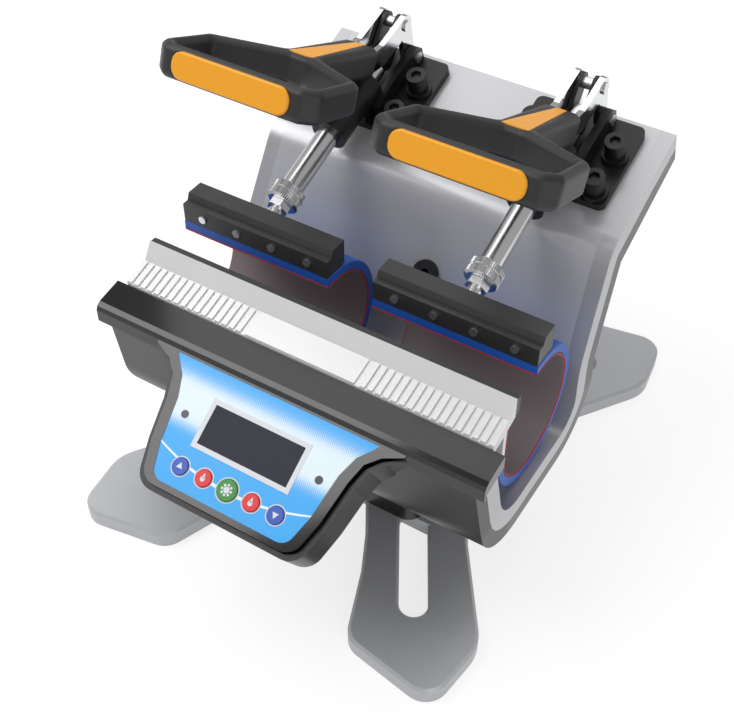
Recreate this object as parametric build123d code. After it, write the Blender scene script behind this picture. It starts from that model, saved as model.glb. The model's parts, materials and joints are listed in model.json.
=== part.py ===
from build123d import *
import math
import os

# Double mug heat press, millimetres. +X is the right-hand station, -Y the front, +Z up.
# The origin is the centre of the base's underside.

# Stations and their mugs
STATION_PITCH = 150.0
SIDES = {"left": -1, "right": 1}
BAR_LENGTH = 116.0
MUG_RADIUS = 41.0
HEATER_THICKNESS = 3.4
JACKET_THICKNESS = 4.5
MAT_WIDTH = BAR_LENGTH + 1.0
MAT_CENTRE_Y = -46.0
MAT_CENTRE_Z = 137.0

# Body seen from the side
FLOOR_Z = 86.0
LIP_TOP = (-109.0, 162.0)
LIP_FOOT_Y = -96.0
BACK_FOOT_Y = 9.0
BACK_KNEE = (12.0, 128.0)
BEND_Y = 51.0
DECK_END_Y = 146.0
DECK_SLOPE = 19.3
DECK_REF = (38.0, 197.6)
LIP_RADIUS = 30.0
FOOT_RADIUS = 22.0
KNEE_RADIUS = 60.0
BEND_RADIUS = 26.0
SHEET = 2.0
RIM_DEPTH = 14.0
BODY_DEPTH = 26.0
COVER_WALL = 2.5

# Body seen from the front
WIDE_HALF = 140.0
NARROW_HALF = 133.0
TAPER_LOW_Z = 100.0
TAPER_HIGH_Z = 210.0
RIM_WIDTH = 11.0
HOUSING_SPLIT_Y = -84.0

# Base
BASE_THICKNESS = 13.0
LEG_SLOT_WIDTH = 20.0
PAD_RADIUS = 11.0
PAD_DEPTH = 3.0
SCREW_RADIUS = 3.0
PEDESTAL_HALF_X = 68.0
PEDESTAL_FRONT_Y = -78.0
PEDESTAL_BACK_Y = 6.0
PEDESTAL_WALL = 5.0

# Front bar, strip and bezel
BEZEL_HALF = 144.0
RIB_HALF = 136.0
RIB_PITCH = 5.5
RIB_GAP = 2.0
RIB_HEIGHT = 1.2
PLAIN_HALF = 37.5
STRIP_THICKNESS = 5.0
STRIP_FRONT_Y = -86.0
STRIP_LOW_Z = 174.0
STRIP_HEIGHT = 15.0
STRIP_SCREW_RADIUS = 2.0

# Control panel, a plate that slopes down towards the user
PANEL_TOP = (-133.0, 165.0)
PANEL_SLOPE = 31.4
PANEL_THICKNESS = 4.0
POD_DEPTH = 27.0
OVERLAY_RECESS = 0.8
OVERLAY_SHEET = 0.5
DISPLAY_WIDTH = 73.0
DISPLAY_HEIGHT = 33.0
DISPLAY_CENTRE = 39.0
DISPLAY_BORDER = 3.2
KEY_ROW = 69.5
KEY_PITCH = 17.8
KEY_RADIUS = 5.6
KEY_CENTRE_RADIUS = 7.0
KEY_CLEARANCE = 0.3
KEY_PROUD = 0.9
KEY_LENGTH = 5.0
LAMP_X = 50.0
LAMP_ROW = 39.5
LAMP_RADIUS = 2.6

# Toggle clamp, in its own frame: A runs back along the rod, H stands square to the deck
CLAMP_Y = 106.0
ROD_HEIGHT = 24.0
ROD_RADIUS = 8.0
RUNNING_FIT = 0.05
STUD_RADIUS = 5.0
ROD_FRONT = -121.0
BARREL_RADIUS = 13.0
BARREL_FRONT = -72.0
BARREL_BACK = -22.0
FLANGE_HALF = 40.0
FLANGE_FRONT = -42.0
FLANGE_BACK = 27.0
FLANGE_THICKNESS = 6.0
LEVER_PIVOT = (20.0, -11.0)
TOP_PIVOT = (22.5, 15.3)
LINK_FOOT = (0.5, 0.0)
PIN_RADIUS = 4.0
LINK_PIN_RADIUS = 3.0
LINK_INNER = 3.6
LINK_THICKNESS = 2.8
LEVER_INNER = 7.0
LEVER_THICKNESS = 4.0
EAR_INNER = 11.6
EAR_THICKNESS = 6.0
EYE_RADIUS = 6.5
PLATE_RADIUS = 7.5
BLADE_HALF = 3.0
WINDOW_HALF = 6.2
LOOP_HALF = 9.0
BOLT_X = 30.0
BOLT_A = (-33.0, -2.0)
BOLT_HEAD_RADIUS = 7.0
BOLT_HEAD_HEIGHT = 13.0

# Nuts between the rod and the bar
NUT_RADIUS = 12.0
NUT_LENGTH = 13.0
NUT_GAP = 0.2
LOCK_NUT_RADIUS = 8.0
LOCK_NUT_LENGTH = 5.0

# Handle, in the clamp's frame: its ring lies in a plane that leaves the neck
HANDLE_TILT = -40.9
HANDLE_THICKNESS = 21.0
HANDLE_EDGE = 3.0
NECK_SPOT = (-22.9, 24.9)
NECK_HALF = 14.0
NECK_LENGTH = 72.0
RING_REACH = 150.0
RING_HALF = 57.0
RING_WALL = 8.5
SHOULDER_DROP = 25.0
INSERT_HALF = 42.0
INSERT_HEIGHT = 17.0
INSERT_PROUD = 1.4
INSERT_SEAT = 1.2
INLAY_DEPTH = 1.0

# Press bar section
BAR_BACK_Y = -33.0
BAR_STEP_Y = -46.0
BAR_FRONT_Y = -53.0
BAR_TOP_Z = 205.0
BAR_LEDGE_Z = 200.0
MAT_CLEARANCE = 0.3
BAR_SCREWS = 4
BAR_SCREW_PITCH = 28.0

# Rear fittings
INLET_X = 62.0
SWITCH_X = 22.0
REAR_Z = 102.0
INLET_SIZE = (28.0, 20.0)
SWITCH_SIZE = (20.0, 13.0)
GROMMET_RADIUS = 9.0
GROMMET_X = 14.0

os.makedirs("parts", exist_ok=True)


def save(name, shape):
    export_step(shape, f"parts/{name}.step")


def group(shapes):
    return Compound(children=list(shapes))


def deck_z(y):
    return DECK_REF[1] + (y - DECK_REF[0]) * math.tan(math.radians(DECK_SLOPE))


# The side profile of the body's silver surface, from the front lip to the back of the deck
PROFILE = [
    LIP_TOP,
    (LIP_FOOT_Y, FLOOR_Z),
    (BACK_FOOT_Y, FLOOR_Z),
    BACK_KNEE,
    (BEND_Y, deck_z(BEND_Y)),
    (DECK_END_Y, deck_z(DECK_END_Y)),
]
PROFILE_RADII = [LIP_RADIUS, FOOT_RADIUS, KNEE_RADIUS, BEND_RADIUS]
# +1 where the body lies outside the bend, -1 where it lies inside it
PROFILE_TURNS = [1, 1, -1, -1]


def shifted(points, depth):
    """The same open outline, moved square to its runs by depth, away from the mugs."""
    normals = []
    for (y0, z0), (y1, z1) in zip(points, points[1:]):
        run = math.hypot(y1 - y0, z1 - z0)
        normals.append(((z1 - z0) / run, -(y1 - y0) / run))
    moved = []
    for i, (y, z) in enumerate(points):
        before = normals[max(i - 1, 0)]
        after = normals[min(i, len(normals) - 1)]
        share = 1 + before[0] * after[0] + before[1] * after[1]
        moved.append((y + depth * (before[0] + after[0]) / share, z + depth * (before[1] + after[1]) / share))
    return moved


def edge_line(depth, cut_back=0.0):
    """The body's outline at one depth as a wire, its last point drawn back by cut_back."""
    points = shifted(PROFILE, depth)
    (y0, z0), (y1, z1) = points[-2], points[-1]
    run = math.hypot(y1 - y0, z1 - z0)
    share = (run - cut_back) / run
    points[-1] = (y0 + (y1 - y0) * share, z0 + (z1 - z0) * share)
    radii = []
    for radius, turn in zip(PROFILE_RADII, PROFILE_TURNS):
        radii.append(radius + turn * depth)
    return FilletPolyline(*points, radius=radii)


def band(near, far, cut_back=0.0):
    """The face between two depths of the body's profile, as a prism right across the body."""
    inner = edge_line(near, cut_back)
    outer = edge_line(far, cut_back)
    ends = [Line(inner @ 0, outer @ 0), Line(inner @ 1, outer @ 1)]
    face = make_face(inner.edges() + outer.edges() + ends)
    return extrude(Plane.YZ * face, amount=WIDE_HALF + 2.0, both=True)


def side_slab(inset):
    """Everything between the body's two tapering sides, drawn in by inset."""
    low = WIDE_HALF - inset
    high = NARROW_HALF - inset
    top = 400.0
    right = [(0, -50), (low, -50), (low, TAPER_LOW_Z), (high, TAPER_HIGH_Z), (high, top), (0, top)]
    left = [(-x, z) for x, z in reversed(right)]
    outline = Polyline(*right, *left[1:], close=True)
    return extrude(Plane.XZ * make_face(outline), amount=400.0, both=True)


def block(x0, x1, y0, y1, z0, z1):
    return Pos((x0 + x1) / 2, (y0 + y1) / 2, (z0 + z1) / 2) * Box(x1 - x0, y1 - y0, z1 - z0)


def prism(points, x0, x1, radius=0.0):
    """A prism of a side outline between two X places."""
    face = make_face(Polyline(*points, close=True))
    if radius:
        face = fillet(face.vertices(), radius)
    return Pos(x0, 0, 0) * extrude(Plane.YZ * face, amount=x1 - x0)


# Base


def leg_outline():
    """The front right leg, seen from above: narrow at the body, a rounded paddle at its end."""
    points = [(0, -30), (20, -66), (42, -102), (56, -130), (75, -180), (146, -192), (153, -138), (108, -72), (84, -30)]
    face = make_face(Polyline(*points, close=True))
    ends = face.vertices().sort_by(Axis.Y)
    face = fillet(ends[:2], 17)
    tip = face.vertices().sort_by(Axis.X)[-1]
    return fillet(tip, 30)


def leg_slot():
    start = Vector(64, -72)
    end = Vector(100, -134)
    run = (end - start).length
    angle = math.degrees(math.atan2(end.Y - start.Y, end.X - start.X))
    middle = (start + end) / 2
    return Pos(middle.X, middle.Y) * Rot(0, 0, angle) * SlotCenterToCenter(run, LEG_SLOT_WIDTH)


PAD_PLACES = []
for x_sign in (-1, 1):
    for y_sign in (-1, 1):
        PAD_PLACES.append((x_sign * 122.0, y_sign * 162.0))
BASE_SCREW_PLACES = []
for x_sign in (-1, 1):
    for screw_y in (PEDESTAL_FRONT_Y + 14, PEDESTAL_BACK_Y - 14):
        BASE_SCREW_PLACES.append((x_sign * (PEDESTAL_HALF_X - 14), screw_y))


def base_casting():
    leg = extrude(leg_outline() - leg_slot(), amount=BASE_THICKNESS)
    leg = chamfer(leg.faces().sort_by(Axis.Z)[-1].edges(), 2.0)
    casting = block(-84, 84, -72, 72, 0, BASE_THICKNESS)
    for quarter in (leg, mirror(leg, Plane.YZ)):
        casting += quarter
        casting += mirror(quarter, Plane.XZ)
    for x, y in PAD_PLACES:
        casting -= Pos(x, y, PAD_DEPTH / 2) * Cylinder(PAD_RADIUS, PAD_DEPTH)
    for x, y in BASE_SCREW_PLACES:
        casting -= Pos(x, y, BASE_THICKNESS / 2) * Cylinder(SCREW_RADIUS, BASE_THICKNESS)
        casting -= Pos(x, y, 2) * Cylinder(2 * SCREW_RADIUS, 4)
    return casting


def foot_pads():
    return group(Pos(x, y, PAD_DEPTH / 2) * Cylinder(PAD_RADIUS, PAD_DEPTH) for x, y in PAD_PLACES)


def base_screws():
    length = BASE_THICKNESS + PEDESTAL_WALL - 0.5
    screws = []
    for x, y in BASE_SCREW_PLACES:
        head = Pos(x, y, 2.25) * Cylinder(2 * SCREW_RADIUS, 3.5)
        shank = Pos(x, y, 0.5 + length / 2) * Cylinder(SCREW_RADIUS, length)
        screws.append(head + shank)
    return group(screws)


UNDERSIDE_Z = FLOOR_Z - BODY_DEPTH


def pedestal():
    outer = block(-PEDESTAL_HALF_X, PEDESTAL_HALF_X, PEDESTAL_FRONT_Y, PEDESTAL_BACK_Y, BASE_THICKNESS, UNDERSIDE_Z)
    outer = fillet(outer.edges().filter_by(Axis.Z), 12)
    w = PEDESTAL_WALL
    cavity = block(-PEDESTAL_HALF_X + w, PEDESTAL_HALF_X - w, PEDESTAL_FRONT_Y + w, PEDESTAL_BACK_Y - w,
                   BASE_THICKNESS + w, UNDERSIDE_Z)
    body = outer - cavity
    for x, y in BASE_SCREW_PLACES:
        body -= Pos(x, y, BASE_THICKNESS + w / 2) * Cylinder(SCREW_RADIUS, w)
    return body


# Body shells


def front_part(shape):
    return shape & block(-200, 200, -300, HOUSING_SPLIT_Y, -50, 400)


def rear_part(shape):
    return shape & block(-200, 200, HOUSING_SPLIT_Y, 300, -50, 400)


def inner_shell():
    shell = band(0, SHEET) & side_slab(RIM_WIDTH)
    return shell - grommet_hole()


def side_rim(sign):
    rim = band(0, RIM_DEPTH) & (side_slab(0) - side_slab(RIM_WIDTH))
    return rim & block(min(0, sign * 200), max(0, sign * 200), -300, 300, -50, 400)


def body_block():
    """The body under the silver surface, less the two rims' seats."""
    seats = band(-1, RIM_DEPTH) & (side_slab(-5) - side_slab(RIM_WIDTH))
    return (band(SHEET, BODY_DEPTH) & side_slab(0)) - seats


def body_cavity():
    cavity = band(SHEET, BODY_DEPTH - COVER_WALL, COVER_WALL)
    return cavity & side_slab(RIM_WIDTH + COVER_WALL)


def rear_openings():
    back = 60.0
    openings = block(INLET_X - INLET_SIZE[0] / 2, INLET_X + INLET_SIZE[0] / 2, 20, back,
                     REAR_Z - INLET_SIZE[1] / 2, REAR_Z + INLET_SIZE[1] / 2)
    openings += block(SWITCH_X - SWITCH_SIZE[0] / 2, SWITCH_X + SWITCH_SIZE[0] / 2, 20, back,
                      REAR_Z - SWITCH_SIZE[1] / 2, REAR_Z + SWITCH_SIZE[1] / 2)
    return openings


def outer_cover():
    return rear_part(body_block() - body_cavity()) - rear_openings()


REAR_FACE_Y = BACK_FOOT_Y + BODY_DEPTH + (REAR_Z - FLOOR_Z) * (BACK_KNEE[0] - BACK_FOOT_Y) / (BACK_KNEE[1] - FLOOR_Z)
FLANGE_LIP = 2.0
FITTING_DEPTH = 15.0


def power_inlet():
    width, height = INLET_SIZE
    front = REAR_FACE_Y - FITTING_DEPTH
    back = REAR_FACE_Y + 1.0
    body = block(INLET_X - width / 2, INLET_X + width / 2, front, back, REAR_Z - height / 2, REAR_Z + height / 2)
    body += block(INLET_X - width / 2 - 8, INLET_X + width / 2 + 8, back, back + FLANGE_LIP,
                  REAR_Z - height / 2 - 3, REAR_Z + height / 2 + 3)
    socket = block(INLET_X - 11.5, INLET_X + 11.5, front + 3, back + FLANGE_LIP, REAR_Z - 7.5, REAR_Z + 7.5)
    body -= socket
    for x, z in ((-6, 2), (0, -2.5), (6, 2)):
        body += block(INLET_X + x - 1, INLET_X + x + 1, front + 2, back - 4, REAR_Z + z - 2, REAR_Z + z + 2)
    return body


ROCKER_PIVOT_Y = REAR_FACE_Y - 5.0


def switch_frame():
    width, height = SWITCH_SIZE
    back = REAR_FACE_Y + 1.0
    body = block(SWITCH_X - width / 2, SWITCH_X + width / 2, REAR_FACE_Y - FITTING_DEPTH, back,
                 REAR_Z - height / 2, REAR_Z + height / 2)
    body += block(SWITCH_X - width / 2 - 2, SWITCH_X + width / 2 + 2, back, back + FLANGE_LIP,
                  REAR_Z - height / 2 - 2, REAR_Z + height / 2 + 2)
    return body - block(SWITCH_X - width / 2 + 2, SWITCH_X + width / 2 - 2, REAR_FACE_Y - 12, back + FLANGE_LIP,
                        REAR_Z - height / 2 + 1.4, REAR_Z + height / 2 - 1.4)


def rocker_switch():
    half_x = SWITCH_SIZE[0] / 2 - 2.3
    half_z = SWITCH_SIZE[1] / 2 - 2.6
    points = [(ROCKER_PIVOT_Y - 3, REAR_Z - 2), (ROCKER_PIVOT_Y - 3, REAR_Z + 2),
              (REAR_FACE_Y + 4.5, REAR_Z + half_z), (REAR_FACE_Y + 3.5, REAR_Z), (REAR_FACE_Y + 4.5, REAR_Z - half_z)]
    return prism(points, SWITCH_X - half_x, SWITCH_X + half_x)


# The spot on the sloping back where the mats' wires go into the body
back_run = (BEND_Y - BACK_KNEE[0], deck_z(BEND_Y) - BACK_KNEE[1])
back_length = math.hypot(*back_run)
GROMMET_SHARE = 0.30
GROMMET_SPOT = (BACK_KNEE[0] + back_run[0] * GROMMET_SHARE, BACK_KNEE[1] + back_run[1] * GROMMET_SHARE)
GROMMET_PLANE = Plane(origin=(GROMMET_X, *GROMMET_SPOT), x_dir=(1, 0, 0),
                      z_dir=(0, -back_run[1] / back_length, back_run[0] / back_length))


def grommet_hole():
    return GROMMET_PLANE * Pos(0, 0, -5) * Cylinder(GROMMET_RADIUS - 2, 20)


def cable_grommet():
    head = Pos(0, 0, 2) * Cylinder(GROMMET_RADIUS, 4)
    neck = Pos(0, 0, -SHEET) * Cylinder(GROMMET_RADIUS - 2, 2 * SHEET)
    return GROMMET_PLANE * (head + neck - Cylinder(3, 20))


# Control panel

slope = math.radians(PANEL_SLOPE)
PANEL = Plane(origin=(0, *PANEL_TOP), x_dir=(1, 0, 0), z_dir=(0, -math.sin(slope), math.cos(slope)))


def panel_face(half_widths, corner):
    """A face symmetric about X = 0 from (distance down the panel, half width) pairs."""
    right = [(half, -down) for down, half in half_widths]
    left = [(-x, y) for x, y in reversed(right)]
    face = make_face(Polyline(*right, *left, close=True))
    low = face.vertices().sort_by(Axis.Y)[:2]
    return fillet(low, corner)


BEZEL_OUTLINE = [(1, 92), (6, 92), (12, 79), (20, 71), (34, 67), (62, 63), (87, 56)]
OVERLAY_OUTLINE = [(6, 75), (10, 72), (18, 65), (32, 60), (62, 56), (83, 50)]
POD_OUTLINE = [(-4, 95), (6, 95), (14, 82), (22, 75), (36, 71), (62, 67), (91, 60)]


def panel_box(width, height, down, low, high):
    """A box on the panel between two heights square to it."""
    return PANEL * Pos(0, -down, (low + high) / 2) * Box(width, height, high - low)


def panel_disc(x, down, radius, low, high):
    return PANEL * Pos(x, -down, (low + high) / 2) * Cylinder(radius, high - low)


KEY_PLACES = []
for key_index in range(5):
    key_radius = KEY_CENTRE_RADIUS if key_index == 2 else KEY_RADIUS
    KEY_PLACES.append(((key_index - 2) * KEY_PITCH, key_radius))

LIP_LEAN = (LIP_FOOT_Y - LIP_TOP[0]) / (LIP_TOP[1] - FLOOR_Z)


def lip_top_z(y):
    """Height of the flat top of the body's front wall."""
    return LIP_TOP[1] + (y - LIP_TOP[0]) * LIP_LEAN


STRIP_SECTION = [(-113.5, 171.5), (-132.5, 168.0), (-135.5, 166.0), (-136.8, 163.0), (-137.0, 154.0),
                 (-135.2, 154.0), (-135.0, lip_top_z(-135.0)), (-113.5, lip_top_z(-113.5))]


def bezel_openings():
    openings = panel_box(DISPLAY_WIDTH, DISPLAY_HEIGHT, DISPLAY_CENTRE, -10, 5)
    for x, radius in KEY_PLACES:
        openings += panel_disc(x, KEY_ROW, radius + KEY_CLEARANCE, -10, 5)
    for x in (-LAMP_X, LAMP_X):
        openings += panel_disc(x, LAMP_ROW, LAMP_RADIUS, -10, 5)
    return openings


def front_bezel():
    plate = PANEL * extrude(panel_face(BEZEL_OUTLINE, 12), amount=-PANEL_THICKNESS)
    bezel = plate + prism(STRIP_SECTION, -BEZEL_HALF, BEZEL_HALF)
    bezel -= PANEL * extrude(panel_face(OVERLAY_OUTLINE, 9), amount=-OVERLAY_RECESS)
    return bezel - bezel_openings()


def panel_overlay():
    sheet = extrude(panel_face(OVERLAY_OUTLINE, 9), amount=OVERLAY_SHEET)
    return (PANEL * Pos(0, 0, -OVERLAY_RECESS) * sheet) - bezel_openings()


def display_frame():
    outer = panel_box(DISPLAY_WIDTH, DISPLAY_HEIGHT, DISPLAY_CENTRE, -3.0, 0.0)
    return outer - panel_box(DISPLAY_WIDTH - 2 * DISPLAY_BORDER, DISPLAY_HEIGHT - 2 * DISPLAY_BORDER,
                             DISPLAY_CENTRE, -4, 1)


def display_window():
    return panel_box(DISPLAY_WIDTH - 2 * DISPLAY_BORDER, DISPLAY_HEIGHT - 2 * DISPLAY_BORDER,
                     DISPLAY_CENTRE, -3.0, -0.6)


BOARD_TOP = -6.5


def key(x, radius):
    cap = panel_disc(x, KEY_ROW, radius, KEY_PROUD - KEY_LENGTH, KEY_PROUD)
    return chamfer(cap.edges().sort_by(Axis.Z)[-1], 0.4)


def indicator_lights():
    return group(panel_disc(x, LAMP_ROW, LAMP_RADIUS, BOARD_TOP, -0.1) for x in (-LAMP_X, LAMP_X))


def control_board():
    board = panel_box(108, 58, 52, BOARD_TOP - 1.6, BOARD_TOP)
    display = panel_box(DISPLAY_WIDTH + 6, DISPLAY_HEIGHT + 2, DISPLAY_CENTRE, BOARD_TOP, -PANEL_THICKNESS - 0.2)
    legs = []
    for x in (-50, 50):
        for down in (26, 78):
            legs.append(panel_disc(x, down, 2.5, BOARD_TOP, -PANEL_THICKNESS))
    for leg in legs:
        board += leg
    return board + display


def behind_front(depth):
    """All that lies behind the body's front wall at one depth."""
    top, foot = shifted(PROFILE, depth)[:2]
    outline = [(top[0], 400), top, foot, (foot[0], -50), (300, -50), (300, 400)]
    return prism(outline, -200, 200)


def front_housing():
    shell = front_part(body_block() - body_cavity())
    pod = PANEL * Pos(0, 0, -PANEL_THICKNESS) * extrude(panel_face(POD_OUTLINE, 14), amount=-POD_DEPTH)
    hollow_outline = [(down + (2.5 if down < 0 else 0), half - 3.5) for down, half in POD_OUTLINE[:-1]]
    hollow_outline.append((POD_OUTLINE[-1][0] - 3.5, POD_OUTLINE[-1][1] - 3.5))
    hollow = PANEL * Pos(0, 0, -PANEL_THICKNESS) * extrude(panel_face(hollow_outline, 11), amount=-POD_DEPTH + 3)
    body = shell + (pod - behind_front(BODY_DEPTH - COVER_WALL))
    body -= hollow - behind_front(BODY_DEPTH)
    body -= prism(STRIP_SECTION, -BEZEL_HALF, BEZEL_HALF)
    body -= PANEL * extrude(panel_face(POD_OUTLINE, 14), amount=-PANEL_THICKNESS)
    return body - PANEL * extrude(panel_face(BEZEL_OUTLINE, 12), amount=40)


# Ribbed front bar and what hangs on it

BAR_CREASE = (-94.0, 178.0)
BAR_SECTION = [(-86.0, 174.0), (-86.0, 190.0), BAR_CREASE, (-113.0, 173.0), (-113.0, 167.0), (-99.5, 169.5),
               (-99.5, 140.0), (-95.5, 140.0), (-95.5, 171.0)]
RIB_SECTION = [(-94.0, 174.0), (-94.6, 179.2), (-112.8, 174.4), (-113.0, 170.0)]


def ribbed_front_bar():
    bar = prism(BAR_SECTION, -RIB_HALF, RIB_HALF)
    ribs = int((RIB_HALF - PLAIN_HALF) // RIB_PITCH)
    for index in range(ribs):
        end = RIB_HALF - index * RIB_PITCH
        start = end - RIB_PITCH + RIB_GAP
        bar += prism(RIB_SECTION, start, end)
        bar += prism(RIB_SECTION, -end, -start)
    plain = RIB_HALF - ribs * RIB_PITCH - RIB_GAP
    return bar + prism(RIB_SECTION, -plain, plain)


STRIP_SCREW_X = [share * RIB_HALF for share in (-0.81, -0.29, 0.29, 0.81)]
STRIP_MIDDLE_Y = STRIP_FRONT_Y + STRIP_THICKNESS / 2
STRIP_MIDDLE_Z = STRIP_LOW_Z + STRIP_HEIGHT / 2


def strip_screw_shanks():
    shank = Rot(90, 0, 0) * Cylinder(STRIP_SCREW_RADIUS, STRIP_THICKNESS)
    return [Pos(x, STRIP_MIDDLE_Y, STRIP_MIDDLE_Z) * shank for x in STRIP_SCREW_X]


def mat_clamp_strip():
    strip = block(-RIB_HALF, RIB_HALF, STRIP_FRONT_Y, STRIP_FRONT_Y + STRIP_THICKNESS,
                  STRIP_LOW_Z, STRIP_LOW_Z + STRIP_HEIGHT)
    for shank in strip_screw_shanks():
        strip -= shank
    return strip


def strip_screws():
    head = Rot(90, 0, 0) * Cylinder(STRIP_SCREW_RADIUS + 1.5, 2)
    head_y = STRIP_FRONT_Y + STRIP_THICKNESS + 1
    heads = [Pos(x, head_y, STRIP_MIDDLE_Z) * head for x in STRIP_SCREW_X]
    return group(shank + top for shank, top in zip(strip_screw_shanks(), heads))


BRACKET_FOOT_Z = 148.0
BRACKET_HALF = 12.0
BRACKET_PLACES = (-100.0, 0.0, 100.0)


def bar_brackets():
    """Three blocks that carry the front bar on the lip of the body."""
    foot_y = LIP_TOP[0] + (LIP_TOP[1] - BRACKET_FOOT_Z) * LIP_LEAN
    section = [(foot_y, BRACKET_FOOT_Z), LIP_TOP, (-112.9, lip_top_z(-112.9)), (-112.9, 167.0),
               (-99.5, 169.5), (-99.5, BRACKET_FOOT_Z)]
    return group(prism(section, x - BRACKET_HALF, x + BRACKET_HALF) for x in BRACKET_PLACES)


# Mats


def mat_layer(sign, inner, outer):
    """One layer of a mat: round the mug from under the press bar to the front bar."""
    centre = sign * STATION_PITCH / 2
    ring = Circle(outer) - Circle(inner)
    quarter = Pos(-outer, outer) * Rectangle(2 * outer, 2 * outer)
    ring -= quarter
    front_top = 166.0 - MAT_CENTRE_Z
    ring += Pos(-(inner + outer) / 2, front_top / 2) * Rectangle(outer - inner, front_top)
    top_run = MAT_CENTRE_Y - BAR_FRONT_Y
    ring += Pos(-top_run / 2, (inner + outer) / 2) * Rectangle(top_run, outer - inner)
    face = Plane.YZ * Pos(MAT_CENTRE_Y, MAT_CENTRE_Z) * ring
    return Pos(centre - MAT_WIDTH / 2, 0, 0) * extrude(face, amount=MAT_WIDTH)


HEATER_OUTER = MUG_RADIUS + HEATER_THICKNESS
JACKET_OUTER = HEATER_OUTER + JACKET_THICKNESS
BAR_BOTTOM_Z = MAT_CENTRE_Z + JACKET_OUTER + MAT_CLEARANCE

# Clamp

tilt = math.radians(DECK_SLOPE)
CLAMP_Z = deck_z(CLAMP_Y) + ROD_HEIGHT / math.cos(tilt)


def clamp_place(sign):
    return Location((sign * STATION_PITCH / 2, CLAMP_Y, CLAMP_Z), (DECK_SLOPE, 0, 0))


def along(radius, a0, a1):
    """A round bar on the rod's axis."""
    return Pos(0, (a0 + a1) / 2, 0) * Rot(90, 0, 0) * Cylinder(radius, a1 - a0)


def across(radius, spot, x0, x1):
    """A round bar across the clamp."""
    return Pos((x0 + x1) / 2, spot[0], spot[1]) * Rot(0, 90, 0) * Cylinder(radius, x1 - x0)


def stroke(spots, radius, x0, x1):
    """A plate that follows a line of spots, with round ends."""
    plate = None
    for start, end in zip(spots, spots[1:]):
        run = math.hypot(end[0] - start[0], end[1] - start[1])
        angle = math.degrees(math.atan2(end[1] - start[1], end[0] - start[0]))
        face = Pos((start[0] + end[0]) / 2, (start[1] + end[1]) / 2) * Rot(0, 0, angle)
        face = Plane.YZ * (face * SlotCenterToCenter(run, 2 * radius))
        piece = Pos(x0, 0, 0) * extrude(face, amount=x1 - x0)
        plate = piece if plate is None else plate + piece
    return plate


def both_sides(x0, x1, make):
    return make(x0, x1), make(-x1, -x0)


FLANGE_TOP = -ROD_HEIGHT + FLANGE_THICKNESS


def clamp_base():
    flange = block(-FLANGE_HALF, FLANGE_HALF, FLANGE_FRONT, FLANGE_BACK, -ROD_HEIGHT, FLANGE_TOP)
    flange = fillet(flange.edges().filter_by(Axis.Z), 5)
    saddle = block(-9, 9, FLANGE_FRONT, BARREL_BACK, FLANGE_TOP, -4)
    base = flange + saddle + along(BARREL_RADIUS, BARREL_FRONT, BARREL_BACK)
    for x0, x1 in ((EAR_INNER, EAR_INNER + EAR_THICKNESS), (-EAR_INNER - EAR_THICKNESS, -EAR_INNER)):
        ear = [(BARREL_BACK - 12, FLANGE_TOP), (BARREL_BACK - 12, -6), (BARREL_BACK + 6, -2),
               (LEVER_PIVOT[0] + 2, -3), (FLANGE_BACK, -9), (FLANGE_BACK, FLANGE_TOP)]
        base += prism(ear, x0, x1)
    for x in (-BOLT_X, BOLT_X):
        for a in BOLT_A:
            base += Pos(x, a, FLANGE_TOP + 2) * Cylinder(9, 4)
            base -= Pos(x, a, -ROD_HEIGHT + 6) * Cylinder(SCREW_RADIUS, 30)
    base -= along(ROD_RADIUS + RUNNING_FIT, BARREL_FRONT - 1, BARREL_BACK + 1)
    return base - across(PIN_RADIUS, LEVER_PIVOT, -40, 40)


def clamp_bolts():
    bolts = []
    head_foot = FLANGE_TOP + 4
    for x in (-BOLT_X, BOLT_X):
        for a in BOLT_A:
            head = Pos(x, a, head_foot + BOLT_HEAD_HEIGHT / 2) * Cylinder(BOLT_HEAD_RADIUS, BOLT_HEAD_HEIGHT)
            socket = Pos(x, a, head_foot + BOLT_HEAD_HEIGHT - 2.5) * extrude(RegularPolygon(4, 6), amount=5)
            length = head_foot + ROD_HEIGHT
            shank = Pos(x, a, -ROD_HEIGHT + length / 2) * Cylinder(SCREW_RADIUS, length)
            bolts.append(head - socket + shank)
    return group(bolts)


def base_pins():
    """The two stub pins that the lever swings on, one from each ear."""
    inner = LEVER_INNER
    outer = EAR_INNER + EAR_THICKNESS + 1.5
    return group(both_sides(inner, outer, lambda x0, x1: across(PIN_RADIUS, LEVER_PIVOT, x0, x1)))


LEVER_PATH = [TOP_PIVOT, (8, 16), (-8, 17), (-19, 22), (-38, 38)]


def lever_plate(x0, x1):
    plate = stroke([LEVER_PIVOT, TOP_PIVOT], EYE_RADIUS, x0, x1) + stroke(LEVER_PATH, PLATE_RADIUS, x0, x1)
    plate -= across(PIN_RADIUS + RUNNING_FIT, LEVER_PIVOT, x0 - 1, x1 + 1)
    return plate - across(PIN_RADIUS, TOP_PIVOT, x0 - 1, x1 + 1)


def lever_plates():
    return group(both_sides(LEVER_INNER, LEVER_INNER + LEVER_THICKNESS, lever_plate))


def lever_pin():
    reach = LEVER_INNER + LEVER_THICKNESS + 1.5
    return across(PIN_RADIUS, TOP_PIVOT, -reach, reach)


def link_plate(x0, x1):
    body = stroke([TOP_PIVOT, LINK_FOOT], EYE_RADIUS, x0, x1)
    body -= across(PIN_RADIUS + RUNNING_FIT, TOP_PIVOT, x0 - 1, x1 + 1)
    return body - across(LINK_PIN_RADIUS, LINK_FOOT, x0 - 1, x1 + 1)


def link():
    """The two link plates and the pin at their foot, which crosses the rod's window."""
    reach = LINK_INNER + LINK_THICKNESS
    plates = both_sides(LINK_INNER, LINK_INNER + LINK_THICKNESS, link_plate)
    return group([*plates, across(LINK_PIN_RADIUS, LINK_FOOT, -reach, reach)])


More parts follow.
